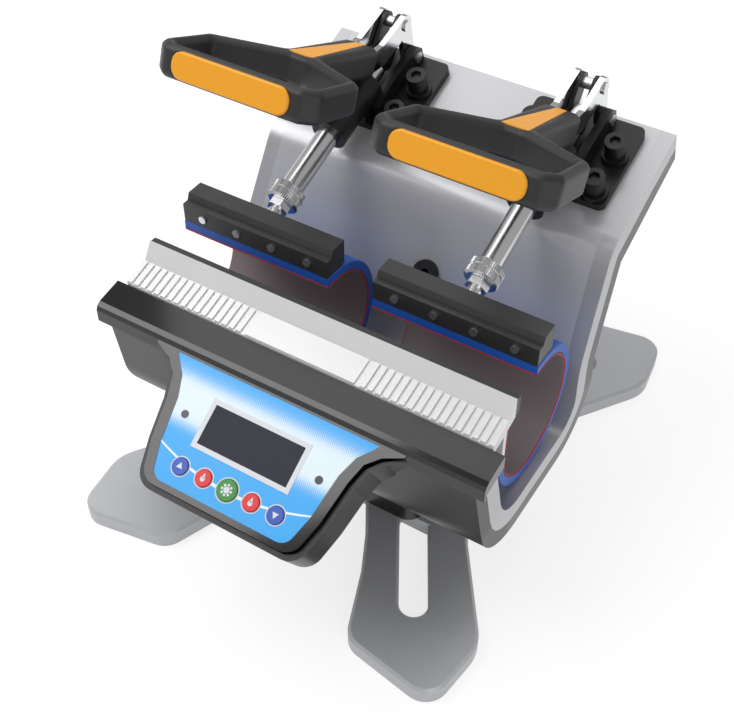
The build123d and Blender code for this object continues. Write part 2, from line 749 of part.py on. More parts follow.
# The rod's flat end, with a window that the link's pin crosses
BLADE_FRONT = LINK_FOOT[0] - LOOP_HALF
BLADE_BACK = LINK_FOOT[0] + LOOP_HALF
BAR_BACK_A = (BAR_BACK_Y - CLAMP_Y) / math.cos(tilt)
STUD_FRONT = BAR_BACK_A - 9.0


def push_rod():
    rod = along(ROD_RADIUS, ROD_FRONT, BLADE_FRONT)
    rod += block(-BLADE_HALF, BLADE_HALF, BLADE_FRONT, BLADE_BACK, -LOOP_HALF, LOOP_HALF)
    window = 2 * WINDOW_HALF
    rod -= Pos(0, LINK_FOOT[0], 0) * Box(3 * BLADE_HALF, window, window)
    return rod + along(STUD_RADIUS, STUD_FRONT, ROD_FRONT)


def hex_ring(radius, a0, a1, bore):
    face = RegularPolygon(radius, 6)
    ring = Pos(0, a0, 0) * Rot(-90, 0, 0) * extrude(face, amount=a1 - a0)
    return ring - along(bore, a0 - 1, a1 + 1)


NUT_BACK = ROD_FRONT - NUT_GAP
NUT_FRONT = NUT_BACK - NUT_LENGTH


def adjusting_nut():
    face = RegularPolygon(NUT_RADIUS, 24)
    nut = Pos(0, NUT_FRONT, 0) * Rot(-90, 0, 0) * extrude(face, amount=NUT_LENGTH)
    ends = nut.faces().filter_by(Axis.Y).edges()
    return chamfer(ends, 1.2) - along(STUD_RADIUS + RUNNING_FIT, NUT_FRONT - 1, NUT_BACK + 1)


def lock_nut():
    back = NUT_FRONT - NUT_GAP
    return hex_ring(LOCK_NUT_RADIUS, back - LOCK_NUT_LENGTH, back, STUD_RADIUS)


def press_bar(sign):
    section = [(BAR_BACK_Y, BAR_BOTTOM_Z), (BAR_BACK_Y, BAR_TOP_Z), (BAR_STEP_Y, BAR_TOP_Z),
               (BAR_STEP_Y - 2, BAR_LEDGE_Z), (BAR_FRONT_Y, BAR_LEDGE_Z), (BAR_FRONT_Y, BAR_BOTTOM_Z)]
    centre = sign * STATION_PITCH / 2
    bar = prism(section, centre - BAR_LENGTH / 2, centre + BAR_LENGTH / 2)
    bar -= clamp_place(sign) * along(STUD_RADIUS, STUD_FRONT, ROD_FRONT)
    for x in bar_screw_places(sign):
        bar -= Pos(x, BAR_FRONT_Y + 3, BAR_SCREW_Z) * Rot(90, 0, 0) * Cylinder(1.5, 6)
    return bar


BAR_SCREW_Z = (BAR_BOTTOM_Z + BAR_LEDGE_Z) / 2


def bar_screw_places(sign):
    first = -BAR_SCREW_PITCH * (BAR_SCREWS - 1) / 2
    return [sign * STATION_PITCH / 2 + first + index * BAR_SCREW_PITCH for index in range(BAR_SCREWS)]


def bar_screws(sign):
    screws = []
    for x in bar_screw_places(sign):
        shank = Pos(x, BAR_FRONT_Y + 3, BAR_SCREW_Z) * Rot(90, 0, 0) * Cylinder(1.5, 6)
        head = Pos(x, BAR_FRONT_Y - 0.6, BAR_SCREW_Z) * Rot(90, 0, 0) * Cylinder(2.8, 1.2)
        screws.append(shank + head)
    return group(screws)


# Handle, drawn flat with -Y of the drawing towards the user, then set at the neck

HANDLE = Plane(origin=(0, *NECK_SPOT), x_dir=(1, 0, 0),
               z_dir=(0, -math.sin(math.radians(HANDLE_TILT)), math.cos(math.radians(HANDLE_TILT))))
SHOULDER = NECK_LENGTH + SHOULDER_DROP
CORNER_CUT = 9.0


def mirrored_face(right_half):
    """A face symmetric about X = 0, given its right half from the back to the front."""
    return make_face(Polyline(*right_half, *[(-x, y) for x, y in reversed(right_half)], close=True))


def ring_face():
    """The handle's outline: a straight neck that opens into a wide shallow ring."""
    face = mirrored_face([(NECK_HALF, 4), (NECK_HALF, -NECK_LENGTH), (RING_HALF, -SHOULDER),
                          (RING_HALF + 1, -RING_REACH + CORNER_CUT), (RING_HALF + 1 - CORNER_CUT, -RING_REACH)])
    return fillet(face.vertices(), 5)


def finger_gap():
    half = RING_HALF - RING_WALL
    front = -RING_REACH + RING_WALL
    face = mirrored_face([(NECK_HALF - RING_WALL, -NECK_LENGTH - RING_WALL + 1.5), (half, -SHOULDER - RING_WALL / 2),
                          (half + 1, front + CORNER_CUT / 2), (half + 1 - CORNER_CUT / 2, front)])
    return fillet(face.vertices(), 3)


def grip_insert_solid():
    """The coloured insert on the front of the grip bar."""
    face = RectangleRounded(2 * INSERT_HALF, INSERT_HEIGHT, INSERT_HEIGHT * 0.45)
    front = Plane(origin=(0, -RING_REACH + INSERT_SEAT, 0), x_dir=(1, 0, 0), z_dir=(0, -1, 0))
    plate = front * extrude(face, amount=INSERT_SEAT + INSERT_PROUD)
    return chamfer(plate.faces().sort_by(Axis.Y)[0].edges(), 0.9)


def handle_blank():
    ring = extrude(ring_face() - finger_gap(), amount=HANDLE_THICKNESS / 2, both=True)
    faces = ring.faces().sort_by(Axis.Z)
    return chamfer(faces[0].edges() + faces[-1].edges(), HANDLE_EDGE)


def neck_inlay_solid():
    wide = NECK_HALF - HANDLE_EDGE - 2.0
    face = mirrored_face([(wide * 0.4, 0), (wide, -NECK_LENGTH - 4)])
    return Pos(0, 0, HANDLE_THICKNESS / 2 - INLAY_DEPTH) * extrude(face, amount=INLAY_DEPTH)


def handle():
    body = HANDLE * (handle_blank() - grip_insert_solid() - neck_inlay_solid())
    for x0, x1 in ((LEVER_INNER, LEVER_INNER + LEVER_THICKNESS), (-LEVER_INNER - LEVER_THICKNESS, -LEVER_INNER)):
        body -= stroke(LEVER_PATH, PLATE_RADIUS, x0, x1)
    return body


def grip_insert():
    return HANDLE * grip_insert_solid()


def neck_inlay():
    return HANDLE * neck_inlay_solid()


# Build

save("base_casting", base_casting())
save("foot_pads", foot_pads())
save("base_screws", base_screws())
save("pedestal", pedestal())
save("inner_shell", inner_shell())
save("outer_cover", outer_cover())
save("front_housing", front_housing())
save("power_inlet", power_inlet())
save("switch_frame", switch_frame())
save("rocker_switch", rocker_switch())
save("cable_grommet", cable_grommet())
save("front_bezel", front_bezel())
save("panel_overlay", panel_overlay())
save("display_frame", display_frame())
save("display_window", display_window())
save("control_board", control_board())
save("indicator_lights", indicator_lights())
for key_index, (key_x, key_radius) in enumerate(KEY_PLACES, start=1):
    save(f"key_{key_index}", key(key_x, key_radius))
save("ribbed_front_bar", ribbed_front_bar())
save("mat_clamp_strip", mat_clamp_strip())
save("strip_screws", strip_screws())
save("bar_brackets", bar_brackets())

clamp_makers = {
    "clamp_base": clamp_base,
    "clamp_bolts": clamp_bolts,
    "base_pins": base_pins,
    "lever_plates": lever_plates,
    "lever_pin": lever_pin,
    "link": link,
    "push_rod": push_rod,
    "lock_nut": lock_nut,
    "adjusting_nut": adjusting_nut,
    "handle": handle,
    "grip_insert": grip_insert,
    "neck_inlay": neck_inlay,
}
clamp_shapes = {name: make() for name, make in clamp_makers.items()}
for side, sign in SIDES.items():
    save(f"{side}_side_rim", side_rim(sign))
    save(f"{side}_mat_heater", mat_layer(sign, MUG_RADIUS, HEATER_OUTER))
    save(f"{side}_mat_jacket", mat_layer(sign, HEATER_OUTER, JACKET_OUTER))
    save(f"{side}_press_bar", press_bar(sign))
    save(f"{side}_bar_screws", bar_screws(sign))
    for name, shape in clamp_shapes.items():
        save(f"{side}_{name}", clamp_place(sign) * shape)
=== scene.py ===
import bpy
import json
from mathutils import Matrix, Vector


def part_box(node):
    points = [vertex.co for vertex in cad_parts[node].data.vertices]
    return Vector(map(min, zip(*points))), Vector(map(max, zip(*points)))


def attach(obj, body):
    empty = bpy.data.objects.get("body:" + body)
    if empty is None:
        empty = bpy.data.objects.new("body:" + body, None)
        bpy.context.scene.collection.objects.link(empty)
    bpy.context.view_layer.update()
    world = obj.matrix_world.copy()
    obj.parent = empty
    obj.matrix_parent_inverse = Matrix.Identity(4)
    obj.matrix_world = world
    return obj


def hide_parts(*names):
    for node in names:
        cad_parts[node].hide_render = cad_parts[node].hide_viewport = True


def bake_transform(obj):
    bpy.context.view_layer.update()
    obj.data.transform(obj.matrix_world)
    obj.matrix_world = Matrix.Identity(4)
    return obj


bl_info = {
    "name": "Double mug heat press",
    "version": (1, 0, 0),
    "blender": (4, 5, 0),
    "location": "3D View > Sidebar > Mug Press",
    "description": "Dresses a double mug heat press: finishes, heating mats, grips, keys and studio",
    "category": "Object",
}

import json
import math

import bmesh
import bpy
from bpy.props import FloatProperty, FloatVectorProperty, IntProperty, PointerProperty
from bpy.types import Operator, Panel, PropertyGroup
from mathutils import Matrix, Vector

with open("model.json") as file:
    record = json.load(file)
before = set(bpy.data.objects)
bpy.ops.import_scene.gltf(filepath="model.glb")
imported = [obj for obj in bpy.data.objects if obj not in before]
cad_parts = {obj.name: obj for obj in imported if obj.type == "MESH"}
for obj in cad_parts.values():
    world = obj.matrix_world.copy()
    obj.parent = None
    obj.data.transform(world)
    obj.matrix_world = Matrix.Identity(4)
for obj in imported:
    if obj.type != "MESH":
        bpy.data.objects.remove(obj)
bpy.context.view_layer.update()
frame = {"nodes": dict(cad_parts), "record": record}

SIDES = ("left", "right")
DECK_SLOPE = math.radians(19.3)
PANEL_SLOPE = math.radians(31.4)
PANEL_TOP = Vector((0.0, -0.133, 0.165))
DOWN_PANEL = Vector((0.0, -math.cos(PANEL_SLOPE), -math.sin(PANEL_SLOPE)))


# Sizes and colours that a user would change


class MatSettings(PropertyGroup):
    radius: FloatProperty(name="Mug radius", default=0.041, unit="LENGTH",
                          description="Inside radius of a heating mat")
    lining: FloatProperty(name="Lining", default=0.0006, unit="LENGTH",
                          description="Thickness of the heated lining")
    seam: FloatProperty(name="Seam", default=0.0008, unit="LENGTH", description="Thickness of the red seam")
    cover: FloatProperty(name="Cover", default=0.0065, unit="LENGTH", description="Thickness of the blue cover")
    width: FloatProperty(name="Width", default=0.117, unit="LENGTH", description="Width of a mat along the mug")
    steps: IntProperty(name="Steps", default=72, min=24, max=160, description="Steps round a mat's bend")


class ColourSettings(PropertyGroup):
    mat: FloatVectorProperty(name="Mat", description="Blue silicone of the mats", subtype="COLOR", size=4,
                             default=(0.012, 0.105, 0.50, 1.0))
    seam: FloatVectorProperty(name="Seam", description="Red seam of the mats", subtype="COLOR", size=4,
                              default=(0.50, 0.02, 0.015, 1.0))
    lining: FloatVectorProperty(name="Lining", description="Grey lining of the mats", subtype="COLOR", size=4,
                                default=(0.23, 0.19, 0.20, 1.0))
    grip: FloatVectorProperty(name="Grip", description="Amber insert of the handles", subtype="COLOR", size=4,
                              default=(0.95, 0.40, 0.012, 1.0))
    silver: FloatVectorProperty(name="Silver", description="Paint of the cradle", subtype="COLOR", size=4,
                                default=(0.56, 0.56, 0.58, 1.0))
    base: FloatVectorProperty(name="Base", description="Sand paint of the base", subtype="COLOR", size=4,
                              default=(0.52, 0.53, 0.55, 1.0))
    panel: FloatVectorProperty(name="Panel", description="Blue of the control panel", subtype="COLOR", size=4,
                               default=(0.03, 0.42, 0.95, 1.0))


class StudioSettings(PropertyGroup):
    key_power: FloatProperty(name="Key light", default=15.0, unit="POWER",
                             description="Power of the main soft light")
    fill_power: FloatProperty(name="Fill light", default=6.0, unit="POWER", description="Power of the fill light")
    back_power: FloatProperty(name="Back light", default=10.0, unit="POWER",
                              description="Power of the light behind")


# Node helpers


def put(tree, kind, inputs=None, **settings):
    """Adds a node, sets its settings, and fills or links its inputs."""
    made = tree.nodes.new(kind)
    for name, value in settings.items():
        setattr(made, name, value)
    for name, value in (inputs or {}).items():
        if isinstance(value, bpy.types.NodeSocket):
            tree.links.new(value, made.inputs[name])
        else:
            made.inputs[name].default_value = value
    return made


def calc(tree, operation, *values, clamp=False):
    """The result of a maths node."""
    made = put(tree, "ShaderNodeMath", dict(enumerate(values)), operation=operation, use_clamp=clamp)
    return made.outputs[0]


def vector_calc(tree, operation, *values, result="Vector"):
    made = put(tree, "ShaderNodeVectorMath", dict(enumerate(values)), operation=operation)
    return made.outputs[result]


def mix_colour(tree, share, first, second):
    made = put(tree, "ShaderNodeMix", {"Factor": share, "A": first, "B": second}, data_type="RGBA")
    return made.outputs["Result"]


def new_group(name, inputs, outputs):
    tree = bpy.data.node_groups.new(name, "ShaderNodeTree")
    for socket, kind, value in inputs:
        made = tree.interface.new_socket(name=socket, in_out="INPUT", socket_type=kind)
        if value is not None:
            made.default_value = value
    for socket, kind in outputs:
        tree.interface.new_socket(name=socket, in_out="OUTPUT", socket_type=kind)
    return tree, tree.nodes.new("NodeGroupInput").outputs, tree.nodes.new("NodeGroupOutput").inputs


def surface_group():
    """Fine grain over broad unevenness, for paint, plastic, rubber and cloth."""
    tree, given, result = new_group(
        "Uneven Surface",
        [("Vector", "NodeSocketVector", None), ("Colour", "NodeSocketColor", (0.5, 0.5, 0.5, 1)),
         ("Colour Spread", "NodeSocketFloat", 0.05), ("Grain Scale", "NodeSocketFloat", 900.0),
         ("Roughness", "NodeSocketFloat", 0.4), ("Roughness Spread", "NodeSocketFloat", 0.08)],
        [("Colour", "NodeSocketColor"), ("Roughness", "NodeSocketFloat"), ("Height", "NodeSocketFloat")])
    fine = put(tree, "ShaderNodeTexNoise", {"Vector": given["Vector"], "Scale": given["Grain Scale"],
                                            "Detail": 3.0, "Roughness": 0.6}).outputs["Fac"]
    broad = put(tree, "ShaderNodeTexNoise", {"Vector": given["Vector"], "Scale": 16.0,
                                             "Detail": 2.0}).outputs["Fac"]
    centred = calc(tree, "SUBTRACT", calc(tree, "ADD", fine, broad), 1.0)
    shade = calc(tree, "MULTIPLY_ADD", centred, given["Colour Spread"], 1.0)
    colour = put(tree, "ShaderNodeVectorMath", {0: given["Colour"], "Scale": shade}, operation="SCALE")
    swing = calc(tree, "SUBTRACT", broad, 0.5)
    rough = calc(tree, "MULTIPLY_ADD", swing, given["Roughness Spread"], given["Roughness"], clamp=True)
    tree.links.new(colour.outputs[0], result["Colour"])
    tree.links.new(rough, result["Roughness"])
    tree.links.new(fine, result["Height"])


def drawn_group():
    """Fine lines along one direction, for turned and brushed metal."""
    tree, given, result = new_group(
        "Drawn Lines",
        [("Vector", "NodeSocketVector", None), ("Stretch", "NodeSocketVector", (40.0, 900.0, 900.0)),
         ("Roughness", "NodeSocketFloat", 0.2), ("Roughness Spread", "NodeSocketFloat", 0.2)],
        [("Roughness", "NodeSocketFloat"), ("Height", "NodeSocketFloat")])
    mapped = put(tree, "ShaderNodeMapping", {"Vector": given["Vector"], "Scale": given["Stretch"]})
    lines = put(tree, "ShaderNodeTexNoise", {"Vector": mapped.outputs[0], "Scale": 1.0,
                                             "Detail": 2.0}).outputs["Fac"]
    swing = calc(tree, "SUBTRACT", lines, 0.5)
    rough = calc(tree, "MULTIPLY_ADD", swing, given["Roughness Spread"], given["Roughness"], clamp=True)
    tree.links.new(rough, result["Roughness"])
    tree.links.new(lines, result["Height"])


# The panel's print, in metres down from the panel's top edge
PALE_RISE = (0.006, 0.026)
PALE_FALL = (0.036, 0.054)
LINE_LOW = 0.0707
LINE_SAG = 3.2
LINE_HALF = 0.00115
LINE_TAPER = 0.010
LINE_WHITE = (0.93, 0.97, 1.0, 1.0)


def panel_group():
    """The panel's print: blue to white, rows of pale dots and one white line through the keys."""
    tree, given, result = new_group(
        "Panel Print",
        [("Vector", "NodeSocketVector", None), ("Blue", "NodeSocketColor", (0.03, 0.42, 0.95, 1)),
         ("Pale", "NodeSocketColor", (0.80, 0.93, 1.0, 1)), ("Dot Pitch", "NodeSocketFloat", 0.0016)],
        [("Colour", "NodeSocketColor")])
    x = put(tree, "ShaderNodeSeparateXYZ", {"Vector": given["Vector"]}).outputs["X"]
    from_top = vector_calc(tree, "SUBTRACT", given["Vector"], PANEL_TOP)
    down = vector_calc(tree, "DOT_PRODUCT", from_top, DOWN_PANEL, result="Value")
    # pale band from the middle of the film upwards, blue at its top edge and below
    rise = put(tree, "ShaderNodeMapRange", {"Value": down, "From Min": PALE_RISE[0], "From Max": PALE_RISE[1]},
               interpolation_type="SMOOTHSTEP")
    fall = put(tree, "ShaderNodeMapRange", {"Value": down, "From Min": PALE_FALL[0], "From Max": PALE_FALL[1],
                                            "To Min": 1.0, "To Max": 0.0}, interpolation_type="SMOOTHSTEP")
    pale = calc(tree, "MULTIPLY", rise.outputs[0], fall.outputs[0])
    # halftone: round dots, in rows at 45 degrees, that grow with the pale share
    turned = put(tree, "ShaderNodeCombineXYZ", {"X": calc(tree, "ADD", x, down),
                                                "Y": calc(tree, "SUBTRACT", x, down), "Z": 0.0})
    cell_size = put(tree, "ShaderNodeCombineXYZ", {"X": given["Dot Pitch"], "Y": given["Dot Pitch"], "Z": 1.0})
    cell = vector_calc(tree, "FRACTION", vector_calc(tree, "DIVIDE", turned.outputs[0], cell_size.outputs[0]))
    reach = vector_calc(tree, "LENGTH", vector_calc(tree, "SUBTRACT", cell, (0.5, 0.5, 0.0)), result="Value")
    dot = calc(tree, "SUBTRACT", calc(tree, "MULTIPLY", pale, 0.78), reach)
    mask = put(tree, "ShaderNodeMapRange", {"Value": dot, "From Min": -0.06, "From Max": 0.06})
    soft = calc(tree, "MULTIPLY", pale, 0.35)
    cover = calc(tree, "MULTIPLY_ADD", mask.outputs[0], 0.65, soft, clamp=True)
    base = mix_colour(tree, cover, given["Blue"], given["Pale"])
    # the white line sags through the keys and thins out towards its two ends
    row = calc(tree, "MULTIPLY_ADD", calc(tree, "MULTIPLY", x, x), -LINE_SAG, LINE_LOW)
    off = calc(tree, "ABSOLUTE", calc(tree, "SUBTRACT", down, row))
    width = calc(tree, "MULTIPLY_ADD", calc(tree, "ABSOLUTE", x), -LINE_TAPER, LINE_HALF)
    inside = calc(tree, "SUBTRACT", width, off)
    line = put(tree, "ShaderNodeMapRange", {"Value": inside, "From Min": -0.0001, "From Max": 0.0002})
    tree.links.new(mix_colour(tree, line.outputs[0], base, LINE_WHITE), result["Colour"])


def new_material(name):
    material = bpy.data.materials.new(name)
    material.use_nodes = True
    tree = material.node_tree
    shader = tree.nodes["Principled BSDF"]
    coords = tree.nodes.new("ShaderNodeTexCoord").outputs["Object"]
    return material, tree, shader, coords


def use_group(tree, group, inputs):
    made = put(tree, "ShaderNodeGroup", node_tree=group)
    for name, value in inputs.items():
        if isinstance(value, bpy.types.NodeSocket):
            tree.links.new(value, made.inputs[name])
        else:
            made.inputs[name].default_value = value
    return made


def add_bump(tree, shader, height, strength, distance):
    bump = put(tree, "ShaderNodeBump", {"Height": height, "Strength": strength, "Distance": distance})
    tree.links.new(bump.outputs["Normal"], shader.inputs["Normal"])


def uneven(name, colour, roughness, grain=900.0, spread=0.06, rough_spread=0.1, bump=0.15, depth=0.0002,
           metallic=0.0, coat=0.0):
    material, tree, shader, coords = new_material(name)
    made = use_group(tree, bpy.data.node_groups["Uneven Surface"], {
        "Vector": coords, "Colour": colour, "Colour Spread": spread, "Grain Scale": grain,
        "Roughness": roughness, "Roughness Spread": rough_spread})
    tree.links.new(made.outputs["Colour"], shader.inputs["Base Color"])
    tree.links.new(made.outputs["Roughness"], shader.inputs["Roughness"])
    add_bump(tree, shader, made.outputs["Height"], bump, depth)
    shader.inputs["Metallic"].default_value = metallic
    shader.inputs["Coat Weight"].default_value = coat
    shader.inputs["Coat Roughness"].default_value = 0.08
    return material


def drawn(name, colour, roughness, stretch, rough_spread=0.2, bump=0.08):
    material, tree, shader, coords = new_material(name)
    made = use_group(tree, bpy.data.node_groups["Drawn Lines"], {
        "Vector": coords, "Stretch": stretch, "Roughness": roughness, "Roughness Spread": rough_spread})
    tree.links.new(made.outputs["Roughness"], shader.inputs["Roughness"])
    add_bump(tree, shader, made.outputs["Height"], bump, 0.0001)
    shader.inputs["Base Color"].default_value = colour
    shader.inputs["Metallic"].default_value = 1.0
    return material


def panel_film(colour):
    material, tree, shader, coords = new_material("Panel film")
    made = use_group(tree, bpy.data.node_groups["Panel Print"], {"Vector": coords, "Blue": colour})
    tree.links.new(made.outputs["Colour"], shader.inputs["Base Color"])
    shader.inputs["Roughness"].default_value = 0.35
    return material


def dark_display():
    """A dark display whose colour varies faintly at random."""
    material, tree, shader, coords = new_material("Unlit display")
    made = use_group(tree, bpy.data.node_groups["Uneven Surface"], {
        "Vector": coords, "Colour": (0.018, 0.020, 0.034, 1.0), "Colour Spread": 0.25, "Grain Scale": 60.0,
        "Roughness": 0.16, "Roughness Spread": 0.08})
    tree.links.new(made.outputs["Colour"], shader.inputs["Base Color"])
    tree.links.new(made.outputs["Roughness"], shader.inputs["Roughness"])
    shader.inputs["Specular IOR Level"].default_value = 0.12
    return material


def plain_colour(name, colour, roughness=0.4):
    return uneven(name, colour, roughness, grain=1500.0, spread=0.03, bump=0.05)


def make_finishes(colours):
    """Every finish of the press, by the record's material slot."""
    surface_group()
    drawn_group()
    panel_group()
    black = (0.014, 0.014, 0.015, 1.0)
    return {
        "base_grey": uneven("Sand paint", tuple(colours.base), 0.42, grain=1500, spread=0.16, bump=0.35,
                            metallic=0.2),
        "pad_rubber": uneven("Matt rubber", (0.02, 0.02, 0.02, 1.0), 0.8, grain=700, bump=0.3),
        "screw_steel": drawn("Zinc plate", (0.78, 0.78, 0.79, 1.0), 0.34, (700.0, 700.0, 700.0)),
        "cover_black": uneven("Black powder coat", black, 0.34, grain=1300, bump=0.12, coat=0.15),
        "silver_shell": uneven("Silver satin paint", tuple(colours.silver), 0.30, grain=1700, spread=0.05,
                               bump=0.08, metallic=0.25),
        "rim_silver": uneven("Silver rim paint", (0.50, 0.50, 0.52, 1.0), 0.33, grain=1700, spread=0.05,
                             bump=0.08, metallic=0.45),
        "housing_charcoal": uneven("Charcoal moulding", (0.022, 0.022, 0.024, 1.0), 0.36, grain=1300,
                                   bump=0.18),
        "fitting_black": uneven("Black fitting", black, 0.45, grain=900),
        "switch_red": plain_colour("Red rocker", (0.55, 0.012, 0.012, 1.0), 0.25),
        "bezel_black": uneven("Gloss black", (0.006, 0.006, 0.0065, 1.0), 0.10, grain=300, rough_spread=0.05,
                              bump=0.02, coat=0.15),
        "panel_blue": panel_film(tuple(colours.panel)),
        "display_white": plain_colour("White frame", (0.74, 0.76, 0.80, 1.0), 0.4),
        "display_dark": dark_display(),
        "board_green": plain_colour("Circuit board", (0.02, 0.13, 0.05, 1.0), 0.5),
        "lamp_dark": plain_colour("Dark lens", (0.01, 0.006, 0.014, 1.0), 0.2),
        "key_blue": plain_colour("Blue key", (0.02, 0.09, 0.50, 1.0), 0.35),
        "key_red": plain_colour("Red key", (0.78, 0.012, 0.015, 1.0), 0.35),
        "key_green": plain_colour("Green key", (0.03, 0.26, 0.035, 1.0), 0.35),
        "rib_silver": uneven("Satin casting", (0.80, 0.80, 0.81, 1.0), 0.34, grain=1500, bump=0.1,
                             metallic=0.25),
        "bar_black": uneven("Dark grey satin", (0.030, 0.030, 0.031, 1.0), 0.42, grain=1200, bump=0.15),
        "mat_lining": uneven("Release cloth", tuple(colours.lining), 0.62, grain=2200, spread=0.10, bump=0.3),
        "mat_blue": uneven("Blue silicone", tuple(colours.mat), 0.48, grain=1100, spread=0.10, bump=0.25),
        "clamp_black": uneven("Black oxide", black, 0.36, grain=1000, bump=0.2, metallic=0.3),
        "lever_chrome": drawn("Chromed plate", (0.72, 0.73, 0.74, 1.0), 0.13, (500.0, 160.0, 160.0),
                              rough_spread=0.12),
        "rod_chrome": drawn("Ground rod", (0.74, 0.74, 0.75, 1.0), 0.22, (900.0, 60.0, 900.0),
                            rough_spread=0.06, bump=0.03),
        "handle_black": uneven("Moulded grip", (0.020, 0.020, 0.022, 1.0), 0.50, grain=1000, bump=0.25),
        "insert_amber": uneven("Amber insert", tuple(colours.grip), 0.42, grain=1200, spread=0.05, bump=0.12),
        "seam_red": uneven("Red seam", tuple(colours.seam), 0.55, grain=1500),
    }


# Shape helpers


def make_piece(name, bm, materials):
    bmesh.ops.recalc_face_normals(bm, faces=bm.faces)
    mesh = bpy.data.meshes.new(name)
    bm.to_mesh(mesh)
    bm.free()
    piece = bpy.data.objects.new(name, mesh)
    bpy.context.scene.collection.objects.link(piece)
    for material in materials:
        mesh.materials.append(material)
    return piece


def shade_smooth(piece, angle=35.0):
    mesh = piece.data
    mesh.shade_smooth()
    mesh.set_sharp_from_angle(angle=math.radians(angle))


def verts_of(result):
    return [item for item in result["geom"] if isinstance(item, bmesh.types.BMVert)]


def edges_of(result):
    return [item for item in result["geom"] if isinstance(item, bmesh.types.BMEdge)]


def extruded_loop(bm, edges):
    """Extrudes a loop of edges and gives the new loop's vertices and edges."""
    grown = bmesh.ops.extrude_edge_only(bm, edges=edges)
    verts = verts_of(grown)
    return verts, [edge for edge in edges_of(grown) if all(vert in verts for vert in edge.verts)]


MAT_BEND = math.radians(-270)
MAT_EDGE = 0.0006


def wrapped_layer(bm, spot, half, inner, outer, front_rise, top_run, steps, material):
    """One layer of a mat: straight under the press bar, round the mug, straight up to the front bar."""
    bevel = min(MAT_EDGE, (outer - inner) * 0.3)
    section = [(-half + bevel, inner), (half - bevel, inner), (half, inner + bevel), (half, outer - bevel),
               (half - bevel, outer), (-half + bevel, outer), (-half, outer - bevel), (-half, inner + bevel)]
    verts = [bm.verts.new((spot.x + x, spot.y, spot.z + radius)) for x, radius in section]
    edges = [bm.edges.new(pair) for pair in zip(verts, verts[1:] + verts[:1])]
    lead_verts, first = extruded_loop(bm, edges)
    bmesh.ops.translate(bm, verts=lead_verts, vec=(0, -top_run, 0))
    bend = bmesh.ops.spin(bm, geom=edges, cent=spot, axis=(1, 0, 0), angle=MAT_BEND, steps=steps,
                          use_merge=False)
    last = [item for item in bend["geom_last"] if isinstance(item, bmesh.types.BMEdge)]
    rise_verts, final = extruded_loop(bm, last)
    bmesh.ops.translate(bm, verts=rise_verts, vec=(0, 0, front_rise))
    for loop in (first, final):
        bmesh.ops.edgeloop_fill(bm, edges=loop)
    # the tags mark the layers made before this one
    for face in bm.faces:
        if not face.tag:
            face.tag = True
            face.material_index = material


class MUGPRESS_OT_finishes(Operator):
    """Gives every piece of the frame its own finish"""
    bl_idname = "mugpress.finishes"
    bl_label = "Finishes"

    def execute(self, context):
        finishes = make_finishes(context.scene.mugpress_colours)
        slots = {entry["node"]: entry["material_slot"] for entry in frame["record"]["subparts"]}
        for name, node in frame["nodes"].items():
            material = finishes[slots[name]]
            material["slot"] = slots[name]
            for slot in node.material_slots:
                slot.material = material
            if not node.material_slots:
                node.data.materials.append(material)
        return {"FINISHED"}


def finish(name):
    return bpy.data.materials[name]


FRONT_END_Z = 0.166
TOP_END_Y = -0.053
SEAM_PROUD = 0.0003


class MUGPRESS_OT_mats(Operator):
    """Wraps a blue silicone mat with a red seam and a grey lining round each mug bay"""
    bl_idname = "mugpress.mats"
    bl_label = "Heating mats"

    def execute(self, context):
        sizes = context.scene.mugpress_mats
        materials = [finish("Release cloth"), finish("Red seam"), finish("Blue silicone")]
        half = sizes.width / 2
        lining_edge = sizes.radius + sizes.lining
        seam_edge = lining_edge + sizes.seam
        reach = seam_edge + sizes.cover
        # half width, inside, outside, and how far the layer's end stands proud
        layers = ((half - 0.0006, sizes.radius, lining_edge, 0.0),
                  (half + 0.0002, lining_edge, seam_edge, SEAM_PROUD),
                  (half, seam_edge, reach, 0.0))
        for side in SIDES:
            low, high = (Vector(corner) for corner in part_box(f"{side}_mat_jacket"))
            spot = Vector(((low.x + high.x) / 2, high.y - reach, high.z - reach))
            bm = bmesh.new()
            for index, (layer_half, inner, outer, proud) in enumerate(layers):
                wrapped_layer(bm, spot, layer_half, inner, outer, FRONT_END_Z - spot.z,
                              spot.y - TOP_END_Y + proud, sizes.steps, index)
            piece = make_piece(f"{side}_heating_mat", bm, materials)
            shade_smooth(piece, 40)
            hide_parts(f"{side}_mat_heater", f"{side}_mat_jacket")
            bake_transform(piece)
        return {"FINISHED"}


def soft_copy(node_name, piece_name, voxel, rounds):
    """A copy of a moulded node with its edges rounded off."""
    node = frame["nodes"][node_name]
    bm = bmesh.new()
    bm.from_mesh(node.data)
    bmesh.ops.remove_doubles(bm, verts=bm.verts, dist=0.00001)
    piece = make_piece(piece_name, bm, [finish("Moulded grip")])
    modifier = piece.modifiers.new("Even mesh", "REMESH")
    modifier.mode = "VOXEL"
    modifier.voxel_size = voxel
    smooth = piece.modifiers.new("Round edges", "SMOOTH")
    smooth.factor = 0.5
    smooth.iterations = rounds
    context = bpy.context.evaluated_depsgraph_get()
    done = bpy.data.meshes.new_from_object(piece.evaluated_get(context))
    piece.modifiers.clear()
    piece.data = done
    if not done.materials:
        done.materials.append(finish("Moulded grip"))
    done.shade_smooth()
    return piece


class MUGPRESS_OT_handles(Operator):
    """Rounds the moulded ring handles"""
    bl_idname = "mugpress.handles"
    bl_label = "Handles"

    def execute(self, context):
        for side in SIDES:
            piece = soft_copy(f"{side}_handle", f"{side}_moulded_handle", 0.0011, 6)
            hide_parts(f"{side}_handle")
            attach(piece, f"{side}_lever")
        return {"FINISHED"}


NUT_FLUTES = 48
NUT_RADIUS = 0.01195
NUT_BORE = 0.0051
FLUTE_DEPTH = 0.95
